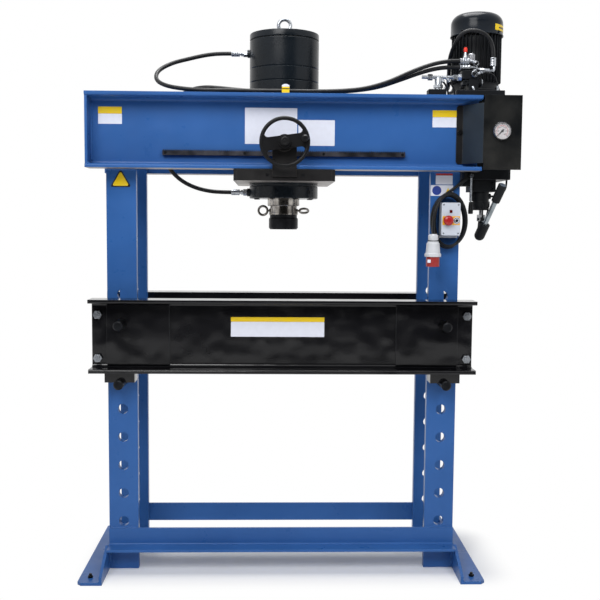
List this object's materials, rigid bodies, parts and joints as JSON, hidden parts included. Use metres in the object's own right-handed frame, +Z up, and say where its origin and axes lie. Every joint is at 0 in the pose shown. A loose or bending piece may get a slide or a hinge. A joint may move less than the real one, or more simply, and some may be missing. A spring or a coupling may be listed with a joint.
{
  "type": "hydraulic workshop press",
  "caption": "H-frame workshop press with a rolling cylinder on the upper beam, a height-adjustable table on pins and an electric and hand power pack.",
  "frame": {"origin": "floor level, middle of the press's outline seen from above, without its free hoses and mains cable", "axes": "+Z up, the operator stands at -Y, +X towards the power pack"},
  "size_m": [1.778, 0.7494, 2.366],
  "materials": {
    "frame_blue": "satin enamel",
    "table_black": "satin enamel",
    "machine_black": "satin enamel",
    "bright_zinc": "zinc plated",
    "bare_steel": "oiled",
    "blackened_steel": "black oxide",
    "hard_chrome": "ground and chromed",
    "black_plastic": "moulded",
    "gauge_steel": "polished",
    "needle_black": "matt",
    "switch_grey": "moulded",
    "stop_red": "moulded",
    "hose_rubber": "smooth cover",
    "cable_black": "matt sheath",
    "plug_grey": "moulded"
  },
  "bodies": {
    "frame": {"beam_front_channel": "frame_blue", "beam_rear_channel": "frame_blue", "posts_left": "frame_blue", "posts_right": "frame_blue", "foot_left": "frame_blue", "foot_right": "frame_blue", "base_rails": "frame_blue", "rack": "bare_steel", "table_front_channel": "table_black", "table_rear_channel": "table_black", "table_ties": "bright_zinc", "saddle_blocks": "table_black", "oil_tank": "machine_black", "motor_housing": "machine_black", "motor_fan_cover": "machine_black", "valve_block": "machine_black", "pack_fittings": "bright_zinc", "gauge_panel": "machine_black", "gauge_case": "gauge_steel", "hand_pump_body": "machine_black", "hand_valve": "machine_black", "switch_box": "switch_grey", "hose_upper": "hose_rubber", "hose_lower": "hose_rubber", "hose_return": "hose_rubber", "short_hoses": "hose_rubber", "mains_cable": "cable_black", "mains_coil": "cable_black", "mains_plug": "plug_grey"},
    "carriage": {"carriage_plate": "machine_black", "hanger_brackets": "machine_black", "cylinder_barrel": "machine_black", "cylinder_gland": "machine_black", "cylinder_cap": "machine_black", "lifting_eye": "machine_black", "cylinder_fittings": "bright_zinc"},
    "ram": {"piston": "bare_steel", "ram_rod": "hard_chrome", "ram_nose": "blackened_steel", "ram_eyes": "hard_chrome"},
    "wheel": {"pinion_shaft": "bare_steel", "handwheel": "machine_black"},
    "spinner": {"spinner_knob": "black_plastic"},
    "roller_front_left": {"track_roller_front_left": "bare_steel"},
    "roller_front_right": {"track_roller_front_right": "bare_steel"},
    "roller_rear_left": {"track_roller_rear_left": "bare_steel"},
    "roller_rear_right": {"track_roller_rear_right": "bare_steel"},
    "lower_left_pin": {"pin_lower_left": "blackened_steel"},
    "lower_right_pin": {"pin_lower_right": "blackened_steel"},
    "upper_left_pin": {"pin_upper_left": "blackened_steel"},
    "upper_right_pin": {"pin_upper_right": "blackened_steel"},
    "rotor": {"motor_rotor": "bare_steel", "motor_fan": "black_plastic"},
    "relief": {"relief_knob": "black_plastic"},
    "needle": {"gauge_needle": "needle_black"},
    "hand_valve_lever": {"valve_lever": "bright_zinc"},
    "plunger": {"pump_plunger": "bare_steel"},
    "hand_lever": {"pump_lever": "bare_steel"},
    "stop": {"stop_button": "stop_red"},
    "start": {"start_button": "black_plastic"}
  },
  "joints": [
    {"name": "carriage_slide", "type": "slide", "parent": "frame", "child": "carriage", "axis": [1, 0, 0], "range_m": [-0.36, 0.36], "deforming": ["hose_upper", "hose_lower"]},
    {"name": "ram_stroke", "type": "slide", "parent": "carriage", "child": "ram", "axis": [0, 0, -1], "range_m": [0, 0.3]},
    {"name": "handwheel_spin", "type": "hinge", "parent": "carriage", "child": "wheel", "pos_m": [-0.061, -0.32125, 1.781], "axis": [0, 1, 0], "range_deg": [-1080, 1080]},
    {"name": "spinner_spin", "type": "hinge", "parent": "wheel", "child": "spinner", "pos_m": [0.01723, -0.33075, 1.792], "axis": [0, 1, 0], "continuous": true},
    {"name": "roller_front_left_spin", "type": "hinge", "parent": "carriage", "child": "roller_front_left", "pos_m": [-0.087, -0.25125, 1.71605], "axis": [0, 1, 0], "range_deg": [-1080, 1080]},
    {"name": "roller_front_right_spin", "type": "hinge", "parent": "carriage", "child": "roller_front_right", "pos_m": [-0.035, -0.25125, 1.71605], "axis": [0, 1, 0], "range_deg": [-1080, 1080]},
    {"name": "roller_rear_left_spin", "type": "hinge", "parent": "carriage", "child": "roller_rear_left", "pos_m": [-0.087, 0.28475, 1.71605], "axis": [0, 1, 0], "range_deg": [-1080, 1080]},
    {"name": "roller_rear_right_spin", "type": "hinge", "parent": "carriage", "child": "roller_rear_right", "pos_m": [-0.035, 0.28475, 1.71605], "axis": [0, 1, 0], "range_deg": [-1080, 1080]},
    {"name": "lower_left_pin_draw", "type": "slide", "parent": "frame", "child": "lower_left_pin", "axis": [0, -1, 0], "range_m": [0, 0.5]},
    {"name": "upper_left_pin_draw", "type": "slide", "parent": "frame", "child": "upper_left_pin", "axis": [0, -1, 0], "range_m": [0, 0.5]},
    {"name": "lower_right_pin_draw", "type": "slide", "parent": "frame", "child": "lower_right_pin", "axis": [0, -1, 0], "range_m": [0, 0.5]},
    {"name": "upper_right_pin_draw", "type": "slide", "parent": "frame", "child": "upper_right_pin", "axis": [0, -1, 0], "range_m": [0, 0.5]},
    {"name": "motor_spin", "type": "hinge", "parent": "frame", "child": "rotor", "pos_m": [0.759, 0.01675, 2.15], "axis": [0, 0, 1], "continuous": true},
    {"name": "relief_turn", "type": "hinge", "parent": "frame", "child": "relief", "pos_m": [0.707, -0.13025, 2.14], "axis": [0, 0, 1], "range_deg": [-360, 360]},
    {"name": "needle_swing", "type": "hinge", "parent": "frame", "child": "needle", "pos_m": [0.808, -0.26925, 1.837], "axis": [0, 1, 0], "range_deg": [0, 270]},
    {"name": "hand_valve_turn", "type": "hinge", "parent": "frame", "child": "hand_valve_lever", "pos_m": [0.707, -0.18125, 1.664], "axis": [0, 1, 0], "range_deg": [-20, 2]},
    {"name": "pump_lever_swing", "type": "hinge", "parent": "frame", "child": "hand_lever", "pos_m": [0.77714, -0.123, 1.487], "axis": [0.9063, 0.4226, 0], "range_deg": [-10, 38]},
    {"name": "pump_plunger_stroke", "type": "slide", "parent": "frame", "child": "plunger", "axis": [0, 0, 1], "range_m": [-0.0045, 0.0165]},
    {"name": "stop_press", "type": "slide", "parent": "frame", "child": "stop", "axis": [0, 1, 0], "range_m": [0, 0.005], "stiffness_N_per_m": 400},
    {"name": "start_press", "type": "slide", "parent": "frame", "child": "start", "axis": [0, 1, 0], "range_m": [0, 0.003], "stiffness_N_per_m": 300}
  ],
  "couplings": [
    {"joint": "handwheel_spin", "follows": "carriage_slide", "rad_per_m": 40},
    {"joint": "roller_front_left_spin", "follows": "carriage_slide", "rad_per_m": 50},
    {"joint": "roller_front_right_spin", "follows": "carriage_slide", "rad_per_m": 50},
    {"joint": "roller_rear_left_spin", "follows": "carriage_slide", "rad_per_m": 50},
    {"joint": "roller_rear_right_spin", "follows": "carriage_slide", "rad_per_m": 50},
    {"joint": "pump_plunger_stroke", "follows": "pump_lever_swing", "m_per_rad": 0.024}
  ]
}
